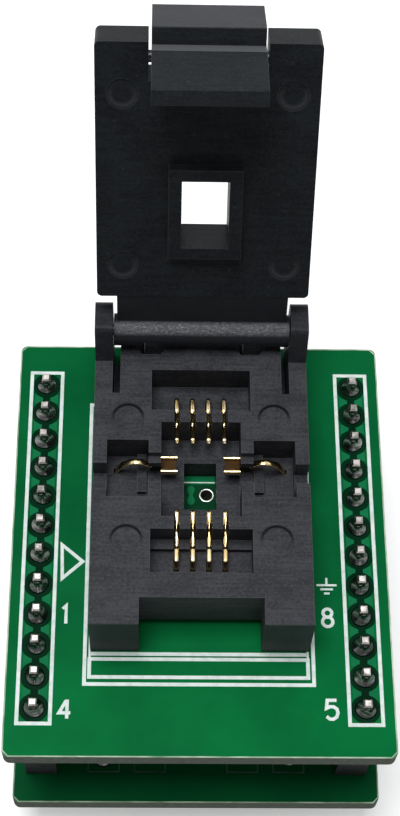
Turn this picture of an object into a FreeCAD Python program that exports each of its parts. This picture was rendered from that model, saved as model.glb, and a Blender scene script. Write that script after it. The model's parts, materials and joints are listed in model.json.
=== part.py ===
import FreeCAD, Part
import math
import os

# Clamshell test socket for a small eight-pad package, on an adapter made of two stacked boards.
# All lengths are millimetres. X runs across the socket, Y runs from the latch to the hinge, Z is up.
# The origin is the centre of the lower pin pattern, in the plane of its tips.

V = FreeCAD.Vector
os.makedirs("parts", exist_ok=True)

# Pin grid shared by both boards
pitch = 2.54
pins_per_row = 12
header_row_spacing = 10 * pitch
dip_row_spacing = 6 * pitch

# Boards
board_width = 30.0
board_depth = 35.6
board_thickness = 1.6
board_corner_radius = 0.6
pin_hole = 1.02
contact_hole = 0.8
centre_via = 0.9
via_x = 0.58
via_offset_y = 0.35
hole_sides = 6

# Lower machined pins and their strip
dip_pin_reach = 3.2
dip_pin_diameter = 0.5
dip_collar_diameter = 0.9
dip_collar_reach = 0.6
dip_strip_height = 2.8
dip_strip_width = 2.4
dip_pin_top_reach = 0.9
pin_sides = 6

# Header between the boards
header_pin_side = 0.64
header_pin_top_reach = 1.55
header_pin_grip = 6.0
header_pin_taper = 0.35
header_strip_height = 2.54
header_strip_width = 2.5
strip_notch = 0.45

# Receptacle under the header
receptacle_height = 8.5
receptacle_width = 2.5
receptacle_end_wall = 0.2
cavity_width = 1.0
cavity_depth = 1.5
clip_metal = 0.2
clip_width = 0.6
clip_base_height = 0.5
clip_top_clearance = 0.4
tail_width = 0.5
tail_metal = 0.3
tail_reach = 1.3

# Solder cones
solder_base_diameter = 1.8
solder_height = 1.0
solder_top_diameter = 1.0
solder_sides = 6

# Heights of the stack
lower_board_bottom = dip_pin_reach + dip_strip_height
lower_board_top = lower_board_bottom + board_thickness
upper_board_bottom = lower_board_top + receptacle_height + header_strip_height
upper_board_top = upper_board_bottom + board_thickness
deck = upper_board_top

# Socket body
body_width = 17.0
body_height = 5.7
body_front_y = -9.35
block_rear_y = 17.0
ear_thickness = 1.41
side_wall_inner_x = body_width / 2 - ear_thickness
slot_width = 0.62
slot_front_y = 10.3
slot_floor = 1.2
slot_floor_rear_y = 15.4
notch_width = 9.5
notch_depth = 2.2
notch_back_y = body_front_y + notch_depth
lip_bottom = 1.1
hook_pocket_depth = 0.6

# Package seat
package_y = 3.65
recess_width = 6.3
recess_depth = 8.2
recess_floor = 2.4
floor_hole_width = 2.6
floor_hole_depth = 4.1
pocket_side_wall = 1.08
pocket_inner_x = 4.13
pocket_outer_x = body_width / 2 - pocket_side_wall
pocket_front_y = 1.2
pocket_rear_y = 6.13
pocket_floor = 2.65
pad_inner_x = 4.3
pad_outer_x = 5.02
pad_front_y = 2.83
pad_top = 3.1
link_front_y = 2.47
link_rear_y = 5.02
link_floor = 2.8
bridge_front_y = 4.42
bridge_bottom = 4.35
bridge_top = 5.05
groove_front_y = 2.43
groove_rear_y = 4.09
groove_floor = 3.76
ejector_diameter = 2.4
ejector_depth = 0.08
ejector_sides = 20
ejector_x = 5.8
ejector_rear_y = 8.08
ejector_front_y = -2.44

# Contact windows, the front one a mirror of the rear one about the package centre
window_width = 7.9
window_near_y = 5.15
window_far_y = 8.8
rear_window_floor = 2.8
front_window_step_y = 5.95
front_window_inner_floor = 3.6
front_window_outer_floor = 3.05

# Signal contacts
contact_count = 4
contact_pitch = 1.27
contact_metal = 0.3
contact_strip = 0.36
contact_clearance = 0.08
contact_bend = 0.3
contact_tail_below = 2.9
outer_tail_y = 8.2
inner_tail_y = 6.3
contact_foot_height = 0.5
contact_heel_y = 7.35
contact_slot_front_y = 6.55
contact_slot_floor = 3.0
shoulder_height = 3.15
crests = [(6.75, 3.6), (5.55, 4.05), (4.25, 4.4)]
dips = [(6.1, 3.4), (4.65, 3.8)]
contact_tip_y = 3.05
contact_tip_height = 4.1

# Ground contacts, one in each side pocket
ground_y = 4.86
ground_strip_width = 0.3
ground_metal = 0.2
ground_tail_inset = 0.67
ground_tail_x = pocket_outer_x - ground_tail_inset
ground_shoulder_height = 2.6
ground_shoulder_run = 0.55
ground_arch = [(5.0, 4.5), (4.3, 4.0), (3.7, 3.6), (3.1, 3.6)]
ground_arch_start_height = 3.8
ground_plate_x = 2.3
ground_prong_tip_x = 1.85
ground_prong_spacing = 1.2
ground_prong_height = 0.35

# Hinge
hinge_y = 15.3
hinge_height = 7.2
knuckle_radius = 1.3
hinge_pin_diameter = 1.0
hinge_pin_clearance = 0.03
ear_front_y = 13.2
ear_front_top_y = 14.0
ear_top = 9.3
ear_front_radius = 0.5
ear_rear_y = 17.0
ear_rear_radius = 1.0
knuckle_side_gap = 0.08

# Hinge springs
spring_wire = 0.25
spring_turns = 4
spring_turn_gap = 0.05
spring_coil_radius = 0.72
spring_room = 0.055
spring_centre_x = 4.0
spring_slot_width = 1.7
spring_pocket_width = 2.35
spring_pocket_tip_width = 1.5
spring_pocket_front_y = 13.87
spring_pocket_shoulder_y = 14.45
spring_pocket_floor = 4.7
spring_leg_end_y = 14.4
wire_sides = 6
coil_sides = 12

# Lid, measured from the hinge towards its free end and outwards from its inner face
lid_open_angle = 118.0
lid_gap = 0.05
hinge_rise = hinge_height - body_height - lid_gap
knuckle_drop = 0.25
lid_side_inset = 0.2
lid_overhang = 0.45
lid_width = body_width - 2 * lid_side_inset
lid_length = hinge_y - body_front_y + lid_overhang
lid_thickness = hinge_rise + knuckle_radius + knuckle_drop
lid_shoulder = 3.95
lid_corner_radius = 0.4
neck_side_gap = 0.35
latch_slot_width = 8.75
latch_slot_depth = 3.0
boss_clearance = 0.35
boss_width = recess_width - 2 * boss_clearance
boss_length = recess_depth - 2 * boss_clearance
boss_height = 1.0
lid_window_width = 3.6
lid_window_length = 5.65
lid_ejector_x = 6.28
lid_ejector_near = 6.74
lid_ejector_far = 21.05

# Latch, in the same lengthwise and thickness directions as the lid
latch_side_gap = 0.22
latch_width = latch_slot_width - 2 * latch_side_gap
latch_pivot_inset = 1.5
latch_pivot_s = lid_length - latch_pivot_inset
latch_pivot_t = 1.0
latch_pin_diameter = 0.9
latch_pin_clearance = 0.03
latch_pin_grip = 3.0
latch_hub_radius = 1.0
latch_face_reach = 1.05
latch_lip_gap = 0.1
latch_nose_reach = 0.4
latch_nose_height = 0.4
latch_tip_gap = 0.4
latch_leg_thickness = 0.75
latch_root_t = -0.95
latch_ledge_t = 0.45
latch_thumb_reach = 2.35
latch_thumb_lean = 0.35
latch_thumb_thickness = 0.8
latch_thumb_top = 5.2
latch_release_angle = 4.5

latch_spring_wire = 0.2
latch_spring_turns = 4
latch_spring_radius = 0.62
latch_spring_width = 2.6
latch_spring_room = 0.13


def box(x0, x1, y0, y1, z0, z1):
    return Part.makeBox(x1 - x0, y1 - y0, z1 - z0, V(x0, y0, z0))


def centred_box(width, y0, y1, z0, z1, x=0.0):
    return box(x - width / 2, x + width / 2, y0, y1, z0, z1)


def post(diameter, x, y, z0, z1):
    return Part.makeCylinder(diameter / 2, z1 - z0, V(x, y, z0), V(0, 0, 1))


def flat_face(corners):
    return Part.Face(Part.makePolygon(corners + corners[:1]))


def ring(diameter, sides, centre, u, v):
    """Corners of a polygon round a centre, in the plane of the unit vectors u and v."""
    corners = []
    for k in range(sides):
        angle = 2 * math.pi * (k + 0.5) / sides
        across = V(u).multiply(diameter / 2 * math.cos(angle))
        along = V(v).multiply(diameter / 2 * math.sin(angle))
        corners.append(V(centre).add(across).add(along))
    return corners


def level_ring(diameter, sides, x, y, z):
    return ring(diameter, sides, V(x, y, z), V(1, 0, 0), V(0, 1, 0))


def through_rings(rings):
    """A solid with flat faces through rings of corners, one after the other."""
    faces = [flat_face(rings[0]), flat_face(rings[-1])]
    for near, far in zip(rings, rings[1:]):
        for k in range(len(near)):
            faces.append(flat_face([near[k - 1], near[k], far[k], far[k - 1]]))
    solid = Part.Solid(Part.Shell(faces))
    if solid.Volume < 0:
        solid.reverse()
    return solid


def prism(diameter, sides, x, y, z0, z1):
    """A straight upright prism, for small repeated holes and pins."""
    return through_rings([level_ring(diameter, sides, x, y, z0), level_ring(diameter, sides, x, y, z1)])


def cross_rod(diameter, x0, x1, y, z):
    return Part.makeCylinder(diameter / 2, x1 - x0, V(x0, y, z), V(1, 0, 0))


def profile_across(corners, x0, x1):
    """A closed outline in the YZ plane, drawn out along X. A corner is y, z and, where round, its radius."""
    edges = []
    count = len(corners)
    starts = []
    ends = []
    for i, corner in enumerate(corners):
        spot = V(x0, corner[0], corner[1])
        if len(corner) < 3:
            starts.append(spot)
            ends.append(spot)
            continue
        before = V(x0, *corners[i - 1][:2]).sub(spot)
        after = V(x0, *corners[(i + 1) % count][:2]).sub(spot)
        half = before.getAngle(after) / 2
        before.normalize()
        after.normalize()
        back = corner[2] / math.tan(half)
        middle = before.add(after)
        middle.normalize()
        reach = corner[2] / math.sin(half) - corner[2]
        first = spot.add(V(before).multiply(back))
        last = spot.add(V(after).multiply(back))
        edges.append(Part.Arc(first, spot.add(middle.multiply(reach)), last).toShape())
        starts.append(first)
        ends.append(last)
    for i in range(count):
        edges.append(Part.LineSegment(ends[i], starts[(i + 1) % count]).toShape())
    face = Part.Face(Part.Wire(Part.__sortEdges__(edges)))
    return face.extrude(V(x1 - x0, 0, 0))


def row_positions():
    """Places of the pins along one row."""
    return [(i - (pins_per_row - 1) / 2) * pitch for i in range(pins_per_row)]


def save(shape, name):
    shape.exportStep("parts/" + name + ".step")


def group(solids):
    return Part.makeCompound(solids)


def mirrored_x(shape):
    return shape.mirror(V(0, 0, 0), V(1, 0, 0))


def unit(a, b):
    length = math.hypot(b[0] - a[0], b[1] - a[1])
    return ((b[0] - a[0]) / length, (b[1] - a[1]) / length)


def strip_side(points, bend, side):
    """Corners along one side of a bent strip, each bend of its centre line cut in two short runs."""
    first = unit(points[0], points[1])
    corners = [(points[0][0] - side * first[1], points[0][1] + side * first[0])]
    for before, corner, after in zip(points, points[1:], points[2:]):
        u = unit(before, corner)
        w = unit(corner, after)
        turn = math.atan2(u[0] * w[1] - u[1] * w[0], u[0] * w[0] + u[1] * w[1])
        back = bend * math.tan(abs(turn) / 2)
        way = 1 if turn > 0 else -1
        centre_x = corner[0] - back * u[0] - way * bend * u[1]
        centre_y = corner[1] - back * u[1] + way * bend * u[0]
        radius = bend - way * side
        heading = math.atan2(u[1], u[0]) - way * math.pi / 2
        for share in (0.0, 0.5, 1.0):
            angle = heading + share * turn
            corners.append((centre_x + radius * math.cos(angle), centre_y + radius * math.sin(angle)))
    last = unit(points[-2], points[-1])
    corners.append((points[-1][0] - side * last[1], points[-1][1] + side * last[0]))
    return corners


def bent_strip(points, bend, thickness, place, across):
    """A strip of sheet metal bent along points, extruded by the vector across."""
    left = strip_side(points, bend, thickness / 2)
    right = strip_side(points, bend, -thickness / 2)
    return flat_face([place(p) for p in left + right[::-1]]).extrude(across)


# Contacts

def contact_x(index):
    return (index - (contact_count - 1) / 2) * contact_pitch


def contact_points(index):
    """Centre line of a signal contact, from its tail to its tip, measured from the package centre."""
    tail = outer_tail_y if index % 2 == 0 else inner_tail_y
    points = [(tail, -contact_tail_below), (tail, contact_foot_height), (contact_heel_y, contact_foot_height),
              (contact_heel_y, shoulder_height), crests[0]]
    for dip, crest in zip(dips, crests[1:]):
        points += [dip, crest]
    points.append((contact_tip_y, contact_tip_height))
    return points


def signal_contact(index, side):
    x = contact_x(index) - contact_metal / 2

    def place(p):
        return V(x, package_y + side * p[0], deck + p[1])

    return bent_strip(contact_points(index), contact_bend, contact_strip, place, V(contact_metal, 0, 0))


def ground_contact(side):
    """An arched strip that widens into a plate with two upturned prongs under the package."""
    shoulder = [(ground_tail_x, -contact_tail_below), (ground_tail_x, ground_shoulder_height),
                (ground_tail_x - ground_shoulder_run, ground_arch_start_height)]
    plate_root_x, plate_z = ground_arch[-1]
    strip_y0 = ground_y - ground_strip_width / 2

    def place(p):
        return V(side * p[0], strip_y0, deck + p[1])

    strip = bent_strip(shoulder + ground_arch, contact_bend, ground_metal, place, V(0, ground_strip_width, 0))
    half = (ground_prong_spacing + ground_metal) / 2
    bottom = deck + plate_z - ground_metal / 2
    pieces = [box(ground_plate_x, plate_root_x, ground_y - half, ground_y + half,
                  bottom, bottom + ground_metal)]
    for step in (-0.5, 0.5):
        middle = ground_y + step * ground_prong_spacing
        pieces.append(box(ground_prong_tip_x, plate_root_x, middle - ground_metal / 2,
                          middle + ground_metal / 2, bottom, bottom + ground_metal + ground_prong_height))
    if side < 0:
        pieces = [mirrored_x(piece) for piece in pieces]
    return strip.fuse(pieces).removeSplitter()


# Boards

def board(bottom):
    plate = centred_box(board_width, -board_depth / 2, board_depth / 2, bottom, bottom + board_thickness)
    corners = [e for e in plate.Edges if abs(e.tangentAt(e.FirstParameter).z) > 0.9]
    return plate.makeFillet(board_corner_radius, corners)


def row_holes(x, diameter, bottom):
    top = bottom + board_thickness
    return [prism(diameter, hole_sides, x, y, bottom, top) for y in row_positions()]


def contact_tails():
    """Places where the tails of the socket's contacts pass through the upper board, with their sizes."""
    tails = []
    for side in (-1, 1):
        tails.append((side * ground_tail_x, ground_y, ground_metal, ground_strip_width))
        for index in range(contact_count):
            y = package_y + side * contact_points(index)[0][0]
            tails.append((contact_x(index), y, contact_metal, contact_strip))
    return tails


def upper_board():
    plate = board(upper_board_bottom)
    holes = []
    for side in (-1, 1):
        holes += row_holes(side * header_row_spacing / 2, pin_hole, upper_board_bottom)
    for x, y, *size in contact_tails():
        holes.append(prism(contact_hole, hole_sides, x, y, upper_board_bottom, deck))
    holes.append(post(centre_via, via_x, package_y + via_offset_y, upper_board_bottom, deck))
    return plate.cut(holes)


def lower_board():
    plate = board(lower_board_bottom)
    holes = []
    for side in (-1, 1):
        holes += row_holes(side * header_row_spacing / 2, pin_hole, lower_board_bottom)
        holes += row_holes(side * dip_row_spacing / 2, pin_hole, lower_board_bottom)
    return plate.cut(holes)


# Header between the boards

def strip_with_notches(x, width, length, bottom, top):
    """A moulded strip with a small V nick on both sides between neighbouring pins."""
    strip = centred_box(width, -length / 2, length / 2, bottom, top, x)
    nicks = []
    for y in row_positions()[:-1]:
        middle = y + pitch / 2
        for side in (-1, 1):
            edge = x + side * width / 2
            tip = edge - side * strip_notch
            corners = [V(edge, middle - strip_notch, bottom), V(tip, middle, bottom),
                       V(edge, middle + strip_notch, bottom)]
            nicks.append(flat_face(corners).extrude(V(0, 0, top - bottom)))
    return strip.cut(nicks)


def square_post(side, x, y, z0, z1):
    return box(x - side / 2, x + side / 2, y - side / 2, y + side / 2, z0, z1)


def header_strip(x):
    bottom = upper_board_bottom - header_strip_height
    strip = strip_with_notches(x, header_strip_width, pins_per_row * pitch, bottom, upper_board_bottom)
    holes = [square_post(header_pin_side, x, y, bottom, upper_board_bottom) for y in row_positions()]
    return strip.cut(holes)


def header_pins(x):
    bottom = upper_board_bottom - header_strip_height - header_pin_grip
    top = upper_board_top + header_pin_top_reach
    half = header_pin_side / 2
    same_height = 1e-6
    pins = []
    for y in row_positions():
        pin = square_post(header_pin_side, x, y, bottom, top)
        ends = [e for e in pin.Edges if min(e.CenterOfMass.z - bottom, top - e.CenterOfMass.z) < same_height]
        pins.append(pin.makeChamfer(header_pin_taper * half, ends))
    return group(pins)


def receptacle(x):
    length = pins_per_row * pitch + 2 * receptacle_end_wall
    top = lower_board_top + receptacle_height
    shell = centred_box(receptacle_width, -length / 2, length / 2, lower_board_top, top, x)
    cavities = []
    for y in row_positions():
        cavity = box(x - cavity_width / 2, x + cavity_width / 2, y - cavity_depth / 2, y + cavity_depth / 2,
                     lower_board_top, top - clip_top_clearance)
        mouth = square_post(cavity_width, x, y, top - clip_top_clearance, top)
        cavities += [cavity, mouth]
    return shell.cut(cavities)


def receptacle_clips(x):
    clips = []
    half = header_pin_side / 2
    top = lower_board_top + receptacle_height - clip_top_clearance
    for y in row_positions():
        leaves = []
        for side in (-1, 1):
            inner = y + side * half
            outer = inner + side * clip_metal
            leaves.append(box(x - clip_width / 2, x + clip_width / 2, min(inner, outer), max(inner, outer),
                              lower_board_top, top))
        base = box(x - clip_width / 2, x + clip_width / 2, y - half, y + half,
                   lower_board_top, lower_board_top + clip_base_height)
        tail = box(x - tail_metal / 2, x + tail_metal / 2, y - tail_width / 2, y + tail_width / 2,
                   lower_board_bottom - tail_reach, lower_board_top)
        clips.append(base.fuse(leaves + [tail]).removeSplitter())
    return group(clips)


# Lower pins

def is_corner(y):
    return abs(y) > (pins_per_row - 1) / 2 * pitch - pitch / 2


def dip_pin(x, y):
    """A pin with a thin tip, a collar in the strip and a stub through the board. A corner tip is round."""
    collar_bottom = dip_pin_reach - dip_collar_reach
    if is_corner(y):
        tip = post(dip_pin_diameter, x, y, 0, collar_bottom)
    else:
        tip = prism(dip_pin_diameter, pin_sides, x, y, 0, collar_bottom)
    collar = prism(dip_collar_diameter, pin_sides, x, y, collar_bottom, lower_board_bottom)
    stub = prism(dip_pin_diameter, pin_sides, x, y, lower_board_bottom, lower_board_top + dip_pin_top_reach)
    return collar.fuse([tip, stub])


def dip_pins(x):
    return group([dip_pin(x, y) for y in row_positions()])


def dip_strip(x):
    strip = strip_with_notches(x, dip_strip_width, pins_per_row * pitch, dip_pin_reach, lower_board_bottom)
    holes = []
    for y in row_positions():
        holes.append(prism(dip_collar_diameter, pin_sides, x, y, dip_pin_reach, lower_board_bottom))
    return strip.cut(holes)


# Solder

def solder_cone(x, y, base, way):
    """A cone of solder standing on a board face, upwards or downwards."""
    foot = level_ring(solder_base_diameter, solder_sides, x, y, base)
    head = level_ring(solder_top_diameter, solder_sides, x, y, base + way * solder_height)
    return through_rings([foot, head])


def around(x, y, base, way, width, depth):
    """A solder cone round a rectangular lead."""
    lead = box(x - width / 2, x + width / 2, y - depth / 2, y + depth / 2, base - 2 * solder_height,
               base + 2 * solder_height)
    return solder_cone(x, y, base, way).cut(lead)


def header_solder(x):
    side = header_pin_side
    return group([around(x, y, upper_board_top, 1, side, side) for y in row_positions()])


def clip_solder(x):
    return group([around(x, y, lower_board_bottom, -1, tail_metal, tail_width) for y in row_positions()])


def dip_solder(x):
    joints = []
    top = lower_board_top + 2 * solder_height
    for y in row_positions():
        stub = prism(dip_pin_diameter, pin_sides, x, y, lower_board_bottom, top)
        joints.append(solder_cone(x, y, lower_board_top, 1).cut(stub))
    return group(joints)


def socket_solder():
    joints = [around(x, y, upper_board_bottom, -1, width, depth) for x, y, width, depth in contact_tails()]
    return group(joints)


# Socket body

def ear(side):
    """Side wall end that carries the hinge pin: slanted in front, flat on top, rounded behind."""
    points = [(slot_front_y, deck), (slot_front_y, deck + body_height), (ear_front_y, deck + body_height),
              (ear_front_top_y, deck + ear_top, ear_front_radius),
              (ear_rear_y, deck + ear_top, ear_rear_radius), (ear_rear_y, deck)]
    plate = profile_across(points, side_wall_inner_x, body_width / 2)
    return plate if side > 0 else mirrored_x(plate)


def from_package(side, near, far):
    """A span of Y given by two distances from the package centre, towards the hinge or the latch."""
    return sorted((package_y + side * near, package_y + side * far))


def contact_slots():
    """Narrow slots that each contact stands in, through the floors and the walls beside them."""
    slots = []
    width = contact_metal + 2 * contact_clearance
    room = contact_strip / 2 + contact_clearance
    for side in (-1, 1):
        for index in range(contact_count):
            x = contact_x(index)
            tail = contact_points(index)[0][0]
            foot_near = min(tail, contact_heel_y) - room
            foot_far = max(tail, contact_heel_y) + room
            spans = [(recess_depth / 2 - room, front_window_step_y + room, contact_slot_floor, body_height),
                     (contact_slot_front_y, contact_heel_y + room, 0, body_height),
                     (foot_near, foot_far, 0, contact_foot_height + room)]
            for near, far, floor, top in spans:
                y0, y1 = from_package(side, near, far)
                slots.append(centred_box(width, y0, y1, deck + floor, deck + top, x))
    return slots


def contact_window(side, floors):
    """An open window over the contacts, with its floor in steps given as near, far, height."""
    cuts = []
    for near, far, floor in floors:
        y0, y1 = from_package(side, near, far)
        cuts.append(centred_box(window_width, y0, y1, deck + floor, deck + body_height))
    return cuts


def side_pocket():
    """The right-hand pocket of a ground contact, its link to the recess and the groove to the outside."""
    top = deck + body_height
    pad = box(pad_inner_x, pad_outer_x, pad_front_y, pocket_rear_y, deck + pocket_floor, deck + pad_top)
    pocket = box(pocket_inner_x, pocket_outer_x, pocket_front_y, pocket_rear_y, deck + pocket_floor, top)
    bridge = box(recess_width / 2, pocket_inner_x, bridge_front_y, link_rear_y,
                 deck + bridge_bottom, deck + bridge_top)
    link = box(recess_width / 2, pocket_inner_x, link_front_y, link_rear_y, deck + link_floor, top)
    groove = box(pocket_outer_x, body_width / 2, groove_front_y, groove_rear_y, deck + groove_floor, top)
    across = ground_metal / 2 + contact_clearance
    along = ground_strip_width / 2 + contact_clearance
    tail = box(ground_tail_x - across, ground_tail_x + across, ground_y - along, ground_y + along,
               deck, deck + pocket_floor)
    return [pocket.cut(pad), link.cut(bridge), groove, tail]


def seat_cuts():
    top = deck + body_height
    half = recess_depth / 2
    cuts = [centred_box(recess_width, package_y - half, package_y + half, deck + recess_floor, top),
            centred_box(floor_hole_width, package_y - floor_hole_depth / 2, package_y + floor_hole_depth / 2,
                        deck, top)]
    for cut in side_pocket():
        cuts += [cut, mirrored_x(cut)]
    for side in (-1, 1):
        for y in (ejector_rear_y, ejector_front_y):
            cuts.append(prism(ejector_diameter, ejector_sides, side * ejector_x, y, top - ejector_depth, top))
    return cuts


def spring_pockets():
    """Pockets in the rear of the block with a tapered front end, where the legs of the hinge springs rest."""
    pockets = []
    for side in (-1, 1):
        x = side * spring_centre_x
        wide = spring_pocket_width / 2
        narrow = spring_pocket_tip_width / 2
        outline = [(-wide, block_rear_y), (-wide, spring_pocket_shoulder_y), (-narrow, spring_pocket_front_y),
                   (narrow, spring_pocket_front_y), (wide, spring_pocket_shoulder_y), (wide, block_rear_y)]
        face = flat_face([V(x + across, y, deck + spring_pocket_floor) for across, y in outline])
        pockets.append(face.extrude(V(0, 0, body_height - spring_pocket_floor)))
    return pockets


def socket_body():
    top = deck + body_height
    block = centred_box(body_width, body_front_y, slot_front_y, deck, top)
    middle_half = side_wall_inner_x - slot_width
    middle = box(-middle_half, middle_half, slot_front_y, block_rear_y, deck, top)
    floor = centred_box(2 * side_wall_inner_x, slot_front_y, slot_floor_rear_y, deck, deck + slot_floor)
    body = block.fuse([middle, floor, ear(-1), ear(1)]).removeSplitter()
    cuts = seat_cuts() + contact_slots() + spring_pockets()
    cuts.append(centred_box(notch_width, body_front_y, notch_back_y, deck, top))
    hook_pocket_back_y = notch_back_y + hook_pocket_depth
    cuts.append(centred_box(notch_width, notch_back_y, hook_pocket_back_y, deck, deck + lip_bottom))
    cuts += contact_window(1, [(window_near_y, window_far_y, rear_window_floor)])
    cuts += contact_window(-1, [(window_near_y, front_window_step_y, front_window_inner_floor),
                                (front_window_step_y, window_far_y, front_window_outer_floor)])
    cuts.append(hinge_pin())
    body = body.cut(cuts)
    return body.removeSplitter()


def coil_points(radius, step, turns, x, y, z, start_angle):
    """Points along a close-wound coil round an axis along X. An angle of 0 is towards the hinge side."""
    points = []
    for k in range(turns * coil_sides + 1):
        share = k / coil_sides
        angle = math.radians(start_angle) + 2 * math.pi * share
        points.append(V(x + step * share, y + radius * math.cos(angle), z + radius * math.sin(angle)))
    return points


def bent_wire(diameter, points):
    """Spring wire through points, mitred at each of them. Its first run is square to X."""
    ways = [(b - a).normalize() for a, b in zip(points, points[1:])]
    across = V(1, 0, 0)
    rings = [ring(diameter, wire_sides, points[0], across, ways[0].cross(across))]
    for corner, way, following in zip(points[1:], ways, ways[1:] + ways[-1:]):
        mitre = way + following
        moved = []
        for spot in rings[-1]:
            reach = (corner - spot).dot(mitre) / way.dot(mitre)
            moved.append(spot + way * reach)
        rings.append(moved)
    return through_rings(rings)


def hinge_spring(side):
    """A torsion spring round the hinge pin, with one leg run down behind the pin into the block's pocket."""
    step = spring_wire + spring_turn_gap
    x = side * spring_centre_x - spring_turns * step / 2
    leg_y = hinge_y + spring_coil_radius
    leg_z = deck + spring_pocket_floor + spring_wire / 2
    leg = [V(x, spring_leg_end_y, leg_z), V(x, leg_y, leg_z)]
    turns = coil_points(spring_coil_radius, step, spring_turns, x, hinge_y, deck + hinge_height, 0)
    return bent_wire(spring_wire, leg + turns)


def hinge_pin():
    return cross_rod(hinge_pin_diameter, -body_width / 2, body_width / 2, hinge_y, deck + hinge_height)


# Lid group, drawn closed and then swung open about the hinge

def closed_y(s):
    return hinge_y - s


def closed_z(t):
    return deck + body_height + lid_gap + t


def lid_box(width, s0, s1, t0, t1, x=0.0):
    return box(x - width / 2, x + width / 2, closed_y(s1), closed_y(s0), closed_z(t0), closed_z(t1))


def lid_profile(points, x0, x1):
    return profile_across([(closed_y(s), closed_z(t)) for s, t in points], x0, x1)


def swing(shape, angle):
    """A copy of the shape turned about the hinge. A positive angle closes the lid."""
    turned = shape.copy()
    turned.rotate(V(0, hinge_y, deck + hinge_height), V(1, 0, 0), angle)
    return turned


def swing_open(shape):
    return swing(shape, -lid_open_angle)


def lid_neck(half):
    """The narrow part between the shoulder and the knuckle, thinner on its inner side towards the knuckle."""
    swung = math.radians(lid_open_angle)
    top_s = knuckle_radius * math.sin(swung)
    top_t = hinge_rise + knuckle_radius * math.cos(swung)
    outline = [(lid_shoulder, 0), (top_s, top_t), (0, hinge_rise), (0, hinge_rise + knuckle_radius),
               (knuckle_radius, lid_thickness), (lid_shoulder, lid_thickness)]
    return lid_profile(outline, -half, half)


def lid():
    plate = lid_box(lid_width, lid_shoulder, lid_length, 0, lid_thickness)
    uprights = [e for e in plate.Edges if abs(e.tangentAt(e.FirstParameter).z) > 0.9]
    plate = plate.makeFillet(lid_corner_radius, uprights)
    half = side_wall_inner_x - knuckle_side_gap
    knuckle = cross_rod(2 * knuckle_radius, -half, half, hinge_y, deck + hinge_height)
    boss_s = hinge_y - package_y
    boss = lid_box(boss_width, boss_s - boss_length / 2, boss_s + boss_length / 2, -boss_height, 0)
    body = plate.fuse([knuckle, lid_neck(side_wall_inner_x - neck_side_gap), boss]).removeSplitter()
    bore_diameter = hinge_pin_diameter + 2 * hinge_pin_clearance
    cuts = [lid_box(latch_slot_width, lid_length - latch_slot_depth, lid_length, 0, lid_thickness),
            lid_box(lid_window_width, boss_s - lid_window_length / 2, boss_s + lid_window_length / 2,
                    -boss_height, lid_thickness),
            cross_rod(bore_diameter, -half, half, hinge_y, deck + hinge_height),
            latch_pin()]
    for side in (-1, 1):
        cuts.append(spring_slot(side * spring_centre_x))
        for s in (lid_ejector_near, lid_ejector_far):
            cuts.append(prism(ejector_diameter, ejector_sides, side * lid_ejector_x, closed_y(s),
                              closed_z(0), closed_z(ejector_depth)))
    return body.cut(cuts)


def spring_slot(x):
    """Room for a hinge spring: a bore round its coil, open over the half turn that its leg sweeps."""
    x0 = x - spring_slot_width / 2
    x1 = x + spring_slot_width / 2
    radius = spring_coil_radius + spring_wire / 2 + spring_room
    bore = cross_rod(2 * radius, x0, x1, hinge_y, deck + hinge_height)
    reach = 2 * knuckle_radius
    half_turn = box(x0, x1, hinge_y - reach, hinge_y + reach, deck + hinge_height - reach,
                    deck + hinge_height + spring_room)
    return bore.fuse(swing(half_turn, lid_open_angle))


def latch():
    """Thumb plate, hub round the pin and hooked leg, drawn hooked and then turned until just released."""
    s0 = latch_pivot_s
    inner = hinge_y - notch_back_y + latch_lip_gap
    nose_s = hinge_y - notch_back_y - latch_nose_reach
    nose_t = lip_bottom - latch_lip_gap - body_height - lid_gap
    tip_t = latch_tip_gap - body_height - lid_gap
    face_s = s0 + latch_face_reach
    thumb_s = s0 + latch_thumb_reach
    top_s = thumb_s + latch_thumb_lean
    hub_t = latch_pivot_t + latch_hub_radius
    outline = [(s0 - latch_hub_radius, latch_root_t), (s0 - latch_hub_radius, hub_t, 0.9),
               (s0 + latch_hub_radius, hub_t, 0.5),
               (top_s - latch_thumb_thickness, latch_thumb_top, 0.3), (top_s, latch_thumb_top, 0.3),
               (thumb_s, latch_ledge_t, 0.1), (face_s, latch_ledge_t), (face_s, latch_root_t),
               (inner + latch_leg_thickness, tip_t, 0.15), (inner, tip_t),
               (nose_s, nose_t - latch_nose_height), (nose_s, nose_t), (inner, nose_t)]
    corners = [(closed_y(c[0]), closed_z(c[1])) + tuple(c[2:]) for c in outline]
    plate = profile_across(corners, -latch_width / 2, latch_width / 2)
    pivot = V(0, closed_y(latch_pivot_s), closed_z(latch_pivot_t))
    bore_diameter = latch_pin_diameter + 2 * latch_pin_clearance
    bore = cross_rod(bore_diameter, -latch_width / 2, latch_width / 2, pivot.y, pivot.z)
    radius = latch_spring_radius + latch_spring_wire / 2 + latch_spring_room
    half = latch_spring_width / 2
    barrel = cross_rod(2 * radius, -half, half, pivot.y, pivot.z)
    room = box(-half, half, pivot.y, pivot.y + 2 * radius, pivot.z - radius, pivot.z + 2 * radius)
    moulded = plate.cut([bore, barrel, room])
    moulded.rotate(pivot, V(1, 0, 0), -latch_release_angle)
    return moulded


def latch_spring():
    """A small torsion spring round the latch pin, with one leg against the end of the lid's slot."""
    step = latch_spring_wire + spring_turn_gap
    x = -latch_spring_turns * step / 2
    y = closed_y(latch_pivot_s)
    z = closed_z(latch_pivot_t)
    wall_y = closed_y(lid_length - latch_slot_depth)
    turns = coil_points(latch_spring_radius, step, latch_spring_turns, x, y, z, 90)
    return bent_wire(latch_spring_wire, [V(x, wall_y, z + latch_spring_radius)] + turns)


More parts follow.
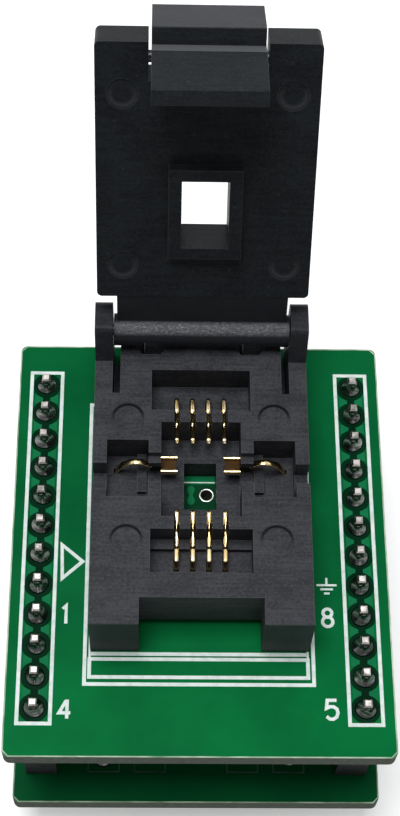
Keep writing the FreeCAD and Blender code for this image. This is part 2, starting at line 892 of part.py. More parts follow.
def latch_pin():
    half = latch_slot_width / 2 + latch_pin_grip
    return cross_rod(latch_pin_diameter, -half, half, closed_y(latch_pivot_s), closed_z(latch_pivot_t))


def build():
    half_header = header_row_spacing / 2
    half_dip = dip_row_spacing / 2
    save(upper_board(), "upper_board")
    save(lower_board(), "lower_board")
    for side, name in ((-1, "left"), (1, "right")):
        save(header_strip(side * half_header), name + "_pin_strip")
        save(header_pins(side * half_header), name + "_header_pins")
        save(receptacle(side * half_header), name + "_receptacle")
        save(receptacle_clips(side * half_header), name + "_receptacle_clips")
        save(header_solder(side * half_header), name + "_upper_solder")
        save(clip_solder(side * half_header), name + "_lower_solder")
        save(dip_strip(side * half_dip), name + "_dip_strip")
        save(dip_pins(side * half_dip), name + "_dip_pins")
        save(dip_solder(side * half_dip), name + "_dip_solder")
        save(ground_contact(side), "ground_contact_" + name)
    for index in range(contact_count):
        save(signal_contact(index, 1), "rear_contact_" + str(index + 1))
        save(signal_contact(index, -1), "front_contact_" + str(index + 1))
    save(socket_solder(), "socket_solder")
    save(socket_body(), "socket_body")
    save(hinge_pin(), "hinge_pin")
    save(hinge_spring(-1), "hinge_spring_left")
    save(hinge_spring(1), "hinge_spring_right")
    save(swing_open(lid()), "lid")
    save(swing_open(latch()), "latch")
    save(swing_open(latch_pin()), "latch_pin")
    save(swing_open(latch_spring()), "latch_spring")


build()
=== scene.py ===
import json
import math
import random
import bpy
import bmesh
from mathutils import Matrix, Vector


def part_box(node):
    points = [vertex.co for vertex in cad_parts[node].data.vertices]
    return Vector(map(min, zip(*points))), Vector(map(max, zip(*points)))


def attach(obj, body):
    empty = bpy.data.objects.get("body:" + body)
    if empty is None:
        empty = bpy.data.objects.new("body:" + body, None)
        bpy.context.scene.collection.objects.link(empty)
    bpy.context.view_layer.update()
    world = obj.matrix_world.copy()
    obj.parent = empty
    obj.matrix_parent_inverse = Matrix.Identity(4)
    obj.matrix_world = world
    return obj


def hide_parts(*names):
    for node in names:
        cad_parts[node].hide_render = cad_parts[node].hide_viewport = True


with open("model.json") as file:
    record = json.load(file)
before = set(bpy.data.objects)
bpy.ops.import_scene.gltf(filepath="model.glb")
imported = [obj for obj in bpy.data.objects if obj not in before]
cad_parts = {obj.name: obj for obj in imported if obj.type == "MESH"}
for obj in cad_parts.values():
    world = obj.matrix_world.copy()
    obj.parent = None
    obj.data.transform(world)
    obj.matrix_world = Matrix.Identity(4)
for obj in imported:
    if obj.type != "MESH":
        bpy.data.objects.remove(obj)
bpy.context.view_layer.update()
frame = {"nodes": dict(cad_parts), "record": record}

random.seed(7)

MM = 0.001
nodes = frame["nodes"]
scene = bpy.context.scene

# Faces of the boards and front of the moulded body, read from the frame
upper_low, upper_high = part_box("upper_board")
lower_low, lower_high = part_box("lower_board")
deck = upper_high.z
lower_deck = lower_high.z
seat_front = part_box("socket_body")[0].y

# Pin grid
PITCH = 2.54 * MM
PIN_ROWS = 12
HEADER_X = 12.7 * MM
DIP_X = 7.62 * MM
PIN_SIDE = 0.64 * MM
PAD_RADIUS = 0.85 * MM
MASK_RADIUS = 1.16 * MM

# Copper links between neighbouring pads of a header, waisted in the middle
LINK_LENGTH = 0.84 * MM
LINK_FLARE = 0.95 * MM
LINK_WAIST = 0.18 * MM
LINK_SHADE = 0.3 * MM

# Hole under the package, and the films round it
VIA_X = 0.58 * MM
VIA_Y = 4.0 * MM
VIA_HOLE_RADIUS = 0.45 * MM
VIA_RING_RADIUS = 0.62 * MM
VIA_RING_LIFT = 0.03 * MM
VIA_RING_SLOPE = 0.04 * MM
TRACE_X = -0.68 * MM
TRACE_HALF_WIDTH = 0.3 * MM
TRACE_HALF_LENGTH = 0.85 * MM
TRACE_LEAST = 0.02 * MM
TRACE_WAIST = 0.55
TRACE_WAIST_LENGTH = 0.28
RING_OVERLAP = 0.93
OPENING_HALF = 1.29 * MM
OPENING_FRONT = 1.6 * MM
PLANE_BACK = 1.13 * MM
PLANE_DEPTH = 0.6 * MM
PLANE_GAP = 0.2 * MM

# Contacts. Bends, tails and runs are in millimetres: distance from the package centre, height above the board
PACKAGE_Y = 3.65 * MM
CONTACT_COUNT = 4
CONTACT_PITCH = 1.27 * MM
CONTACT_WIDTH = 0.38 * MM
CONTACT_STRIP = 0.36 * MM
CONTACT_BEND = 0.16
GROUND_BEND = 0.9
CONTACT_TAILS = (8.2, 6.3)
CONTACT_RUN = [(7.35, 0.5), (7.35, 3.2), (7.05, 3.8), (6.1, 3.8), (5.85, 3.7),
               (4.75, 4.02), (4.45, 3.9), (3.2, 4.3), (3.05, 4.15)]
TAIL_BELOW = -2.9
GROUND_Y = 4.86 * MM
GROUND_RUN = [(6.75, -2.9), (6.75, 2.6), (6.2, 3.8), (5.0, 4.5), (4.3, 4.0), (3.95, 3.77)]
GROUND_LINK = [(3.95, 3.77), (3.7, 3.6), (2.3, 3.6)]
GROUND_METAL = 0.2 * MM
GROUND_WIDTH = 0.5 * MM
PRONG_RUN = [(3.15, 3.775), (1.85, 3.775)]
PRONG_METAL = 0.27 * MM
PRONG_HEIGHT = 0.55 * MM
PRONG_SPACING = 1.2 * MM
PLATE_TOP = 3.7 * MM
PLATE_RUN = (1.95, 3.1)
PLATE_PROUD = 0.01 * MM
PLATE_MARGIN = 0.08 * MM

# Lid and latch as they stand at rest, and places on the mouldings where painted light, painted shade and
# painted highlights begin and end
LID_OPEN = math.radians(118.0)
RELEASED = math.radians(4.5)
BAR_RADIUS = 1.3 * MM
BODY_HEIGHT = 5.7 * MM
NECK_END = 4.0 * MM
LATCH_FACE = 1.0 * MM
LATCH_BAND_LOW = -1.95 * MM
LATCH_BAND_HIGH = -0.55 * MM

# Ejector marks, in millimetres from the middle line and along the piece; their rims take painted shade on the
# body and a painted highlight on the lid, stronger at one end
MARK_RADIUS = 1.2 * MM
MARK_FADE = 0.6 * MM
MARK_WEAK = 0.05
BODY_MARKS = [(5.8, 8.08), (5.8, -2.44)]
LID_MARKS = [(6.28, 6.74), (6.28, 21.05)]
LID_MARK_RADIUS = MARK_RADIUS - 0.24 * MM

# Ink lines on the boards
INK_WIDTH = 0.29 * MM
DIGIT_WIDTH = 0.26 * MM
SIGN_WIDTH = 0.17 * MM
FINE_WIDTH = 0.12 * MM
SEAT_LINE_WIDTH = 0.1 * MM
DIGIT_HEIGHT = 1.5 * MM
INK_LIFT = 0.012 * MM
MITRE_LIMIT = 1.1

# Films lie in layers on the upper board, so that no two tops share a plane
FILM = 0.006 * MM
SEAT_TOP = deck + 0.25 * FILM
COPPER_TOP = deck + 0.5 * FILM
SHADE_TOP = deck + 0.75 * FILM
CLEARANCE_TOP = deck + FILM

# Worn rim of a board
RIM_INSET = 0.06 * MM
RIM_CORNER = 0.45 * MM
RIM_WIDTH = 0.1 * MM

# Rounded edges of the mouldings
EDGE_WIDTH = 0.07 * MM
EDGE_ANGLE = math.radians(38)
FLAT_ANGLE = math.radians(2)

# Photograph's camera: angles in degrees, lengths in millimetres
IMAGE_HEIGHT = 816
FOCAL_PIXELS = 1749.26
SENSOR = 36.0
ELEVATION = 62.04
YAW = -3.11
ROLL = 3.29
TARGET_X = 0.08
TARGET_Y = 12.02
DISTANCE = 145.75
CLIP_START = 5.0


def pin_places():
    """Places of the pins along a row."""
    return [(i - (PIN_ROWS - 1) / 2) * PITCH for i in range(PIN_ROWS)]


# Nodes of a material

def new_material(name):
    material = bpy.data.materials.new(name)
    material.use_nodes = True
    tree = material.node_tree
    shader = tree.nodes["Principled BSDF"]
    return material, tree, shader


def add(tree, kind, **values):
    node = tree.nodes.new(kind)
    for key, value in values.items():
        setattr(node, key, value)
    return node


def object_point(tree, stretch=(1, 1, 1)):
    """Points of the object in metres, stretched for grain that runs one way."""
    place = add(tree, "ShaderNodeTexCoord")
    mapping = add(tree, "ShaderNodeMapping")
    mapping.inputs["Scale"].default_value = stretch
    tree.links.new(place.outputs["Object"], mapping.inputs["Vector"])
    return mapping.outputs["Vector"]


def noise(tree, vector, scale, detail, rough=0.55):
    node = add(tree, "ShaderNodeTexNoise")
    node.inputs["Scale"].default_value = scale
    node.inputs["Detail"].default_value = detail
    node.inputs["Roughness"].default_value = rough
    tree.links.new(vector, node.inputs["Vector"])
    return node.outputs["Fac"]


def ramp(tree, value, stops):
    """Colour that runs through the stops, each a place and a colour."""
    node = add(tree, "ShaderNodeValToRGB")
    elements = node.color_ramp.elements
    while len(elements) < len(stops):
        elements.new(0.5)
    for element, (place, colour) in zip(elements, stops):
        element.position = place
        element.color = (*colour, 1)
    tree.links.new(value, node.inputs["Fac"])
    return node.outputs["Color"]


def number_ramp(tree, value, low_at, low, high_at, high):
    """A number that runs from low to high as the value runs from low_at to high_at."""
    node = add(tree, "ShaderNodeMapRange")
    for socket, number in zip(("From Min", "From Max", "To Min", "To Max"), (low_at, high_at, low, high)):
        node.inputs[socket].default_value = number
    tree.links.new(value, node.inputs["Value"])
    return node.outputs["Result"]


def bump(tree, height, strength, distance, before=None):
    node = add(tree, "ShaderNodeBump")
    node.inputs["Strength"].default_value = strength
    node.inputs["Distance"].default_value = distance
    tree.links.new(height, node.inputs["Height"])
    if before is not None:
        tree.links.new(before, node.inputs["Normal"])
    return node.outputs["Normal"]


def mix(tree, factor, a, b):
    """Colour between a and b; each may be a plain colour or a socket."""
    node = add(tree, "ShaderNodeMix", data_type="RGBA")
    colours = [s for s in node.inputs if s.type == "RGBA"]
    for socket, value in zip(colours, (a, b)):
        if isinstance(value, tuple):
            socket.default_value = (*value, 1)
        else:
            tree.links.new(value, socket)
    if isinstance(factor, float):
        node.inputs["Factor"].default_value = factor
    else:
        tree.links.new(factor, node.inputs["Factor"])
    return [s for s in node.outputs if s.type == "RGBA"][0]


def worn_edge(tree, radius):
    """About one on sharp edges and nought on faces."""
    rounded = add(tree, "ShaderNodeBevel", samples=6)
    rounded.inputs["Radius"].default_value = radius
    plain = add(tree, "ShaderNodeNewGeometry")
    dot = add(tree, "ShaderNodeVectorMath", operation="DOT_PRODUCT")
    tree.links.new(rounded.outputs["Normal"], dot.inputs[0])
    tree.links.new(plain.outputs["Normal"], dot.inputs[1])
    return number_ramp(tree, dot.outputs["Value"], 0.98, 0.0, 0.75, 1.0)


def measured(tree, origin, way):
    """Distance of a point of the object from the origin, along a direction."""
    place = add(tree, "ShaderNodeTexCoord")
    offset = add(tree, "ShaderNodeVectorMath", operation="SUBTRACT")
    tree.links.new(place.outputs["Object"], offset.inputs[0])
    offset.inputs[1].default_value = origin
    dot = add(tree, "ShaderNodeVectorMath", operation="DOT_PRODUCT")
    tree.links.new(offset.outputs["Vector"], dot.inputs[0])
    dot.inputs[1].default_value = way
    return dot.outputs["Value"]


def calculate(tree, operation, a, b=0.0):
    node = add(tree, "ShaderNodeMath", operation=operation)
    for socket, value in zip(node.inputs, (a, b)):
        if isinstance(value, float):
            socket.default_value = value
        else:
            tree.links.new(value, socket)
    return node.outputs["Value"]


def product(tree, a, b):
    return calculate(tree, "MULTIPLY", a, b)


def distance(tree, a, b):
    """Distance of a point that lies a and b away in two square directions."""
    return calculate(tree, "SQRT", calculate(tree, "ADD", product(tree, a, a), product(tree, b, b)))


def coordinate(tree, axis):
    """X, Y or Z of a point of the object, for axis 0, 1 or 2."""
    return measured(tree, (0, 0, 0), tuple(float(k == axis) for k in range(3)))


def painted_mark_rims(tree, along, places, radius, strong_end, crisp, faded):
    """Thin rings at the ejector marks of the moulding, for painted shade on the body and a painted highlight
    on the lid, stronger at one end of each as the light falls.
    """
    across = calculate(tree, "ABSOLUTE", coordinate(tree, 0))
    fade = MARK_FADE * strong_end
    rims = []
    for x, y in places:
        dx = calculate(tree, "SUBTRACT", across, x * MM)
        dy = calculate(tree, "SUBTRACT", along, y * MM)
        gap = calculate(tree, "ABSOLUTE", calculate(tree, "SUBTRACT", distance(tree, dx, dy), radius))
        rim = number_ramp(tree, gap, crisp, 1.0, faded, 0.0)
        end = number_ramp(tree, dy, -fade, MARK_WEAK, fade, 1.0)
        rims.append(product(tree, rim, end))
    return calculate(tree, "MAXIMUM", *rims)


# Colours of painted shade, painted light and painted highlights on the mouldings
# Painted shade on the upper rims of the body's ejector marks
BODY_MARK_SHADE = (0.003, 0.003, 0.004)
# Painted shade on the body's front wall, tinted green as a painted reflection of the board
FRONT_WALL_SHADE = (0.009, 0.021, 0.018)
# Painted shade on the ears above the body's top
EAR_SHADE = (0.008, 0.009, 0.011)
# Painted highlight on the lower rims of the lid's ejector marks
LID_MARK_HIGHLIGHT = (0.036, 0.038, 0.042)
# Painted light on the lid's neck
NECK_LIGHT = (0.026, 0.027, 0.031)
# Painted light on the latch's thumb plate
THUMB_LIGHT = (0.05, 0.052, 0.057)
# Painted highlight on the band under the thumb plate
BAND_HIGHLIGHT = (0.1, 0.104, 0.112)
# Painted highlight on the hinge bar: its tones, and the way the bar's face points where the highlight is full
BAR_HIGHLIGHT_TONES = [(0.3, (0.03, 0.031, 0.035)), (0.6, (0.14, 0.145, 0.155)), (0.7, (0.34, 0.35, 0.36))]
BAR_HIGHLIGHT_WAY = (0, -0.44, 0.9)

# Solder mask: its gloss, and where its painted light starts and is full, from the rear to the front
MASK_GLOSS = 0.012
MASK_LIGHT_FROM = -2.0 * MM
MASK_LIGHT_FULL = -14.0 * MM


# Materials

def moulded_plastic(name, dark, light, edge, roughness, gloss, dress=None):
    """Black moulding with a fine eroded grain, faint flow streaks, specks and paler worn edges.

    dress, where given, adds one moulding's painted shade, painted light and painted highlights to its colour.
    """
    material, tree, shader = new_material(name)
    point = object_point(tree)
    streaks = noise(tree, object_point(tree, (1, 16, 8)), 300.0, 5.0, 0.7)
    cloud = noise(tree, point, 380.0, 5.0, 0.65)
    grain = noise(tree, point, 4200.0, 3.0, 0.7)
    blend = mix(tree, 0.5, cloud, streaks)
    colour = ramp(tree, mix(tree, 0.4, blend, grain), ((0.43, dark), (0.57, light)))
    specks = number_ramp(tree, noise(tree, point, 3200.0, 1.0), 0.7, 0.0, 0.78, 0.3)
    colour = mix(tree, specks, colour, edge)
    colour = mix(tree, worn_edge(tree, 0.08 * MM), colour, edge)
    if dress:
        colour = dress(tree, colour)
    tree.links.new(colour, shader.inputs["Base Color"])
    rough = number_ramp(tree, cloud, 0.3, roughness - 0.07, 0.7, roughness + 0.07)
    tree.links.new(rough, shader.inputs["Roughness"])
    shader.inputs["Specular IOR Level"].default_value = gloss
    fine = bump(tree, grain, 0.7, 0.02 * MM)
    tree.links.new(bump(tree, streaks, 0.5, 0.014 * MM, fine), shader.inputs["Normal"])
    return material


def dress_body(tree, colour):
    """Painted shade on the rims of the ejector marks and on the front wall, tinted green there as a painted
    reflection of the board, and painted shade on the ears above the body's top.
    """
    y = coordinate(tree, 1)
    z = coordinate(tree, 2)
    top = deck + BODY_HEIGHT
    # Painted shade on the rims of the ejector marks
    rims = painted_mark_rims(tree, y, BODY_MARKS, MARK_RADIUS, 1, 0.07 * MM, 0.15 * MM)
    # Painted shade on the front wall, tinted green as a painted reflection of the board
    wall_shade_amount = number_ramp(tree, y, seat_front + 0.04 * MM, 0.8, seat_front + 0.09 * MM, 0.0)
    # Painted shade on the ears
    ear_shade_amount = number_ramp(tree, z, top + 0.05 * MM, 0.0, top + 0.15 * MM, 0.5)
    colour = mix(tree, rims, colour, BODY_MARK_SHADE)
    colour = mix(tree, wall_shade_amount, colour, FRONT_WALL_SHADE)
    return mix(tree, ear_shade_amount, colour, EAR_SHADE)


def slanted_ways(angle):
    """Directions along a piece from its hinge and through it from its inner face, for an opening angle."""
    length = (0, -math.cos(angle), math.sin(angle))
    thickness = (0, math.sin(angle), math.cos(angle))
    return length, thickness


def middle_of(box):
    """Middle of a box, given by its two corners."""
    low, high = box
    return (low + high) / 2


def dress_lid(tree, colour):
    """Painted highlight on the bar round the hinge pin, painted light on the neck, and painted highlights on
    the rims of the ejector marks.
    """
    axis = middle_of(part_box("hinge_pin"))
    length, thickness = slanted_ways(LID_OPEN)
    along = measured(tree, axis, length)
    # Painted highlight on the lower rims of the ejector marks, on the inner face
    rims = painted_mark_rims(tree, along, LID_MARKS, LID_MARK_RADIUS, -1, 0.0, 0.3 * MM)
    # Painted light on the neck
    neck_light_amount = number_ramp(tree, along, NECK_END - 0.3 * MM, 0.55, NECK_END, 0.0)
    inner = number_ramp(tree, measured(tree, axis, thickness), 0.2 * MM, 1.0, 0.6 * MM, 0.0)
    colour = mix(tree, neck_light_amount, colour, NECK_LIGHT)
    colour = mix(tree, product(tree, rims, inner), colour, LID_MARK_HIGHLIGHT)
    # Painted highlight on the bar, strongest where its face points along the highlight's way
    radius = distance(tree, measured(tree, axis, (0, 1, 0)), measured(tree, axis, (0, 0, 1)))
    bar = number_ramp(tree, radius, BAR_RADIUS + 0.02 * MM, 1.0, BAR_RADIUS + 0.1 * MM, 0.0)
    rise = measured(tree, axis, BAR_HIGHLIGHT_WAY)
    facing = number_ramp(tree, rise, 0.88 * BAR_RADIUS, 0.0, 0.99 * BAR_RADIUS, 1.0)
    highlight_grain = noise(tree, object_point(tree, (0.45, 1, 1)), 9000.0, 3.0, 0.8)
    return mix(tree, product(tree, bar, facing), colour, ramp(tree, highlight_grain, BAR_HIGHLIGHT_TONES))


def dress_latch(tree, colour):
    """The thumb plate gets painted light and the band under it a painted highlight, so both are paler than
    the leg.
    """
    pivot = middle_of(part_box("latch_pin"))
    length, thickness = slanted_ways(LID_OPEN + RELEASED)
    s = measured(tree, pivot, length)
    t = measured(tree, pivot, thickness)
    # Painted highlight on the band under the thumb plate
    above = number_ramp(tree, t, LATCH_BAND_LOW, 0.0, LATCH_BAND_LOW + 0.06 * MM, 1.0)
    below = number_ramp(tree, t, LATCH_BAND_HIGH - 0.06 * MM, 1.0, LATCH_BAND_HIGH, 0.0)
    outer = number_ramp(tree, s, LATCH_FACE - 0.01 * MM, 0.0, LATCH_FACE + 0.03 * MM, 1.0)
    band_highlight_amount = product(tree, product(tree, above, below), outer)
    # Painted light on the thumb plate
    thumb_light_amount = number_ramp(tree, t, LATCH_BAND_HIGH + 0.05 * MM, 0.0, LATCH_BAND_HIGH + 0.2 * MM, 0.6)
    colour = mix(tree, thumb_light_amount, colour, THUMB_LIGHT)
    return mix(tree, band_highlight_amount, colour, BAND_HIGHLIGHT)


def board_material():
    """Green solder mask above and below, pale glass laminate at the cut edges.

    The mask has painted light towards the front of the upper board, and painted shade low down under it.
    """
    material, tree, shader = new_material("board_mask")
    point = object_point(tree)
    height = coordinate(tree, 2)
    foot = lower_deck + MM
    head = upper_low.z - MM
    cloud = noise(tree, point, 160.0, 4.0)
    weave = noise(tree, point, 1500.0, 2.0)
    fibres = noise(tree, object_point(tree, (30, 30, 260)), 60.0, 4.0)
    # Painted shade low down, on the lower board under the upper one
    low = number_ramp(tree, height, foot, 0.3, head, 0.0)
    # Painted light towards the front of the upper board
    painted_front_light = number_ramp(tree, coordinate(tree, 1), MASK_LIGHT_FROM, 0.0, MASK_LIGHT_FULL, 1.0)
    painted_front_light = product(tree, painted_front_light, number_ramp(tree, height, foot, 0.0, head, 1.0))
    mask = ramp(tree, cloud, ((0.3, (0.0015, 0.098, 0.028)), (0.72, (0.003, 0.135, 0.038))))
    lit_mask = ramp(tree, cloud, ((0.3, (0.0012, 0.125, 0.033)), (0.72, (0.002, 0.175, 0.045))))
    mask = mix(tree, low, mask, (0.003, 0.03, 0.014))
    mask = mix(tree, painted_front_light, mask, lit_mask)
    mask = mix(tree, worn_edge(tree, 0.07 * MM), mask, (0.3, 0.42, 0.32))
    laminate = ramp(tree, fibres, ((0.3, (0.06, 0.075, 0.06)), (0.7, (0.15, 0.17, 0.14))))
    facing = add(tree, "ShaderNodeNewGeometry")
    parts = add(tree, "ShaderNodeSeparateXYZ")
    tree.links.new(facing.outputs["Normal"], parts.inputs["Vector"])
    on_face = number_ramp(tree, calculate(tree, "ABSOLUTE", parts.outputs["Z"]), 0.4, 0.0, 0.6, 1.0)
    tree.links.new(mix(tree, on_face, laminate, mask), shader.inputs["Base Color"])
    tree.links.new(number_ramp(tree, on_face, 0.0, 0.75, 1.0, 0.34), shader.inputs["Roughness"])
    shader.inputs["Specular IOR Level"].default_value = MASK_GLOSS
    tree.links.new(bump(tree, weave, 0.12, 0.01 * MM), shader.inputs["Normal"])
    return material


def metal(name, dark, light, roughness, grain, strength, stretch=(1, 1, 1)):
    """Metal with clouds of tone and gloss, and a fine grain."""
    material, tree, shader = new_material(name)
    point = object_point(tree, stretch)
    cloud = noise(tree, point, grain * 0.3, 3.0)
    fine = noise(tree, point, grain, 2.0)
    tree.links.new(ramp(tree, cloud, ((0.3, dark), (0.7, light))), shader.inputs["Base Color"])
    shader.inputs["Metallic"].default_value = 1.0
    rough = number_ramp(tree, cloud, 0.3, roughness - 0.06, 0.7, roughness + 0.08)
    tree.links.new(rough, shader.inputs["Roughness"])
    tree.links.new(bump(tree, fine, strength, 0.01 * MM), shader.inputs["Normal"])
    return material


def ink_material():
    """White screen ink: a little uneven where the mesh printed it."""
    material, tree, shader = new_material("white_ink")
    point = object_point(tree)
    patch = noise(tree, point, 1400.0, 4.0)
    colour = ramp(tree, patch, ((0.25, (0.52, 0.64, 0.59)), (0.6, (0.74, 0.83, 0.79))))
    tree.links.new(colour, shader.inputs["Base Color"])
    shader.inputs["Roughness"].default_value = 0.5
    tree.links.new(bump(tree, patch, 0.3, 0.01 * MM), shader.inputs["Normal"])
    return material


def film_material(name, dark, light, roughness):
    """A thin coat that clouds from dark to light: solder mask, ink or a worn edge, some of them darkened as
    painted shade.
    """
    material, tree, shader = new_material(name)
    point = object_point(tree)
    cloud = noise(tree, point, 500.0, 3.0)
    tree.links.new(ramp(tree, cloud, ((0.3, dark), (0.7, light))), shader.inputs["Base Color"])
    shader.inputs["Roughness"].default_value = roughness
    shader.inputs["Specular IOR Level"].default_value = MASK_GLOSS
    tree.links.new(bump(tree, cloud, 0.1, 0.02 * MM), shader.inputs["Normal"])
    return material


MATERIALS = {
    "body_plastic": moulded_plastic("body_moulding", (0.022, 0.023, 0.027), (0.05, 0.052, 0.059),
                                    (0.1, 0.1, 0.11), 0.46, 0.1, dress_body),
    # The lid's and the latch's mouldings are painted darker than the body's, as painted shade on the lid's
    # inner face and the latch's leg
    "lid_plastic": moulded_plastic("lid_moulding", (0.008, 0.009, 0.011), (0.015, 0.018, 0.02),
                                   (0.05, 0.052, 0.058), 0.42, 0.05, dress_lid),
    "latch_plastic": moulded_plastic("latch_moulding", (0.011, 0.013, 0.015), (0.02, 0.023, 0.026),
                                     (0.07, 0.072, 0.078), 0.4, 0.07, dress_latch),
    "header_plastic": moulded_plastic("header_moulding", (0.008, 0.008, 0.009), (0.032, 0.032, 0.035),
                                      (0.06, 0.06, 0.062), 0.5, 0.2),
    "green_board": board_material(),
    # The solder is painted dark, a painted reflection of the dark board and lid round it
    "solder": metal("solder_metal", (0.07, 0.075, 0.07), (0.4, 0.4, 0.385), 0.2, 1600.0, 0.6),
    "tinned_pin": metal("tinned_pin_metal", (0.2, 0.185, 0.17), (0.66, 0.62, 0.58), 0.3, 4200.0, 0.6),
    "gold": metal("gold_plate", (0.86, 0.6, 0.24), (1.0, 0.83, 0.5), 0.17, 1800.0, 0.25),
    "spring_steel": metal("steel_wire", (0.04, 0.04, 0.042), (0.1, 0.1, 0.105), 0.35, 2500.0, 0.2, (1, 9, 9)),
}
# Gold in painted shade, for the plate and link between the ground prongs
SHADED_GOLD = metal("gold_in_painted_shade", (0.03, 0.017, 0.007), (0.06, 0.034, 0.014), 0.55, 1800.0, 0.3)
BRIGHT_TIN = metal("bright_tin", (0.7, 0.69, 0.66), (0.95, 0.94, 0.92), 0.4, 2500.0, 0.3)
INK = ink_material()
# Ink in painted shade, for the lower board's outlines under the upper board
SHADED_INK = film_material("ink_in_painted_shade", (0.04, 0.09, 0.065), (0.12, 0.19, 0.155), 0.5)
BARE_EDGE = film_material("worn_board_edge", (0.16, 0.3, 0.17), (0.62, 0.74, 0.58), 0.5)
COPPER_FILM = film_material("mask_over_copper", (0.006, 0.15, 0.055), (0.01, 0.19, 0.07), 0.34)
DARK_FILM = film_material("mask_round_pads", (0.0012, 0.018, 0.007), (0.002, 0.03, 0.012), 0.34)
# Mask in painted shade, under the package deep in the socket
SHADED_FILM = film_material("mask_in_painted_shade", (0.003, 0.04, 0.015), (0.005, 0.058, 0.022), 0.34)


def dress_frame():
    """Each node takes the material of its own slot."""
    slots = {row["node"]: row["material_slot"] for row in frame["record"]["subparts"]}
    for name, piece in nodes.items():
        piece.data.materials.clear()
        piece.data.materials.append(MATERIALS[slots[name]])


def soften(names):
    """Rounded edges on moulded nodes, so that they catch the light as mouldings do."""
    for name in names:
        piece = nodes[name]
        merge = piece.modifiers.new("join_facets", "DECIMATE")
        merge.decimate_type = "DISSOLVE"
        merge.angle_limit = FLAT_ANGLE
        edge = piece.modifiers.new("round_edges", "BEVEL")
        edge.width = EDGE_WIDTH
        edge.segments = 2
        edge.limit_method = "ANGLE"
        edge.angle_limit = EDGE_ANGLE
        edge.use_clamp_overlap = True
        edge.harden_normals = False


# Meshes

def finish(mesh_name, bm, material, body, smooth=False):
    """Makes a mesh into a named piece that rides on a body."""
    mesh = bpy.data.meshes.new(mesh_name)
    bm.normal_update()
    bm.to_mesh(mesh)
    bm.free()
    mesh.materials.append(material)
    piece = bpy.data.objects.new(mesh_name, mesh)
    scene.collection.objects.link(piece)
    for polygon in mesh.polygons:
        polygon.use_smooth = smooth
    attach(piece, body)
    return piece


def add_plate(bm, outline, z0, z1):
    """A closed flat plate with that outline in X and Y."""
    lower = [bm.verts.new((x, y, z0)) for x, y in outline]
    upper = [bm.verts.new((x, y, z1)) for x, y in outline]
    count = len(outline)
    bm.faces.new(list(reversed(lower)))
    bm.faces.new(upper)
    for i in range(count):
        j = (i + 1) % count
        bm.faces.new((lower[i], lower[j], upper[j], upper[i]))


def add_stroke(bm, points, width, z0, z1, closed=False):
    """An ink line of even width along the points, mitred at its corners."""
    spots = [Vector(p) for p in points]
    count = len(spots)
    rings = []
    for i, spot in enumerate(spots):
        before = spots[i - 1] if closed or i else None
        after = spots[(i + 1) % count] if closed or i < count - 1 else None
        ways = []
        if before is not None:
            ways.append((spot - before).normalized())
        if after is not None:
            ways.append((after - spot).normalized())
        normals = [Vector((-way.y, way.x)) for way in ways]
        middle = (normals[0] + normals[-1]).normalized()
        reach = min(width / 2 / max(middle.dot(normals[0]), 0.01), MITRE_LIMIT * width)
        left = spot + middle * reach
        right = spot - middle * reach
        corners = ((left, z0), (right, z0), (right, z1), (left, z1))
        rings.append([bm.verts.new((q.x, q.y, z)) for q, z in corners])
    runs = list(zip(rings, rings[1:]))
    if closed:
        runs.append((rings[-1], rings[0]))
    else:
        bm.faces.new(rings[0])
        bm.faces.new(list(reversed(rings[-1])))
    for a, b in runs:
        for k in range(4):
            j = (k + 1) % 4
            bm.faces.new((a[k], b[k], b[j], a[j]))


def circle_points(x, y, radius, steps):
    angles = [math.tau * k / steps for k in range(steps)]
    return [(x + radius * math.cos(angle), y + radius * math.sin(angle)) for angle in angles]


def rectangle(x0, x1, y0, y1):
    return [(x0, y0), (x1, y0), (x1, y1), (x0, y1)]


def in_mm(points):
    """Points in metres, from points given in millimetres."""
    return [(x * MM, y * MM) for x, y in points]


# Screen printing. Digits are drawn in a cell that runs from -1 to 1

DIGITS = {
    "1": [[(-0.35, 0.62), (0.0, 1.0), (0.0, -1.0)]],
    "4": [[(0.3, -1.0), (0.3, 1.0)], [(0.2, 0.9), (-0.5, -0.4), (0.65, -0.4)]],
    "5": [[(0.5, 1.0), (-0.45, 1.0), (-0.55, 0.15), (-0.2, 0.32), (0.2, 0.3), (0.5, 0.08), (0.6, -0.33),
           (0.45, -0.78), (0.1, -1.0), (-0.25, -0.98), (-0.58, -0.72)]],
    "8": [circle_points(0, 0.5, 0.46, 20), circle_points(0, -0.46, 0.54, 20)],
}
CLOSED_DIGITS = "8"
DIGIT_PLACES = [("1", -10.47, -6.38), ("4", -10.38, -14.05), ("8", 10.03, -6.5), ("5", 10.09, -14.0)]

# Closed outlines in millimetres: round the socket, in front of it, and the mark at pin one
OUTLINES = [
    rectangle(-8.92, 8.79, -12.05, 12.2),
    rectangle(-8.55, 8.36, -11.48, -10.02),
    [(-10.97, -0.46), (-10.87, -3.33), (-9.3, -1.89)],
]

# Open lines in millimetres, each with its width and its share of the ink's height
LINES = [
    ([(-8.45, -9.6), (8.26, -9.6)], INK_WIDTH, 0.8),
    ([(-8.55, -10.02), (-8.55, -7.4)], SIGN_WIDTH, 0.6),
    ([(8.36, -10.02), (8.36, -7.4)], SIGN_WIDTH, 0.6),
    ([(-1.25, 5.13), (1.25, 5.13)], SEAT_LINE_WIDTH, 1.0),
]
HEADER_FRAME_WIDTH = 2.54 * MM
HEADER_FRAME_LENGTH = 30.4 * MM

# Ground sign: its place, the ends of its stem above that, and its bars by half length and height
SIGN_X = 10.05
SIGN_Y = -3.87
SIGN_STEM = (0.72, 0.1)
SIGN_BARS = [(0.8, 0.1), (0.5, -0.25), (0.22, -0.6)]

# Middle lines of the row outlines on the lower board, in millimetres
LOWER_ROWS = (-7.62, -3.81, 3.81, 7.62)


def centred(x, width, length):
    """Outline of a rectangle about a place on the X axis."""
    return rectangle(x - width / 2, x + width / 2, -length / 2, length / 2)


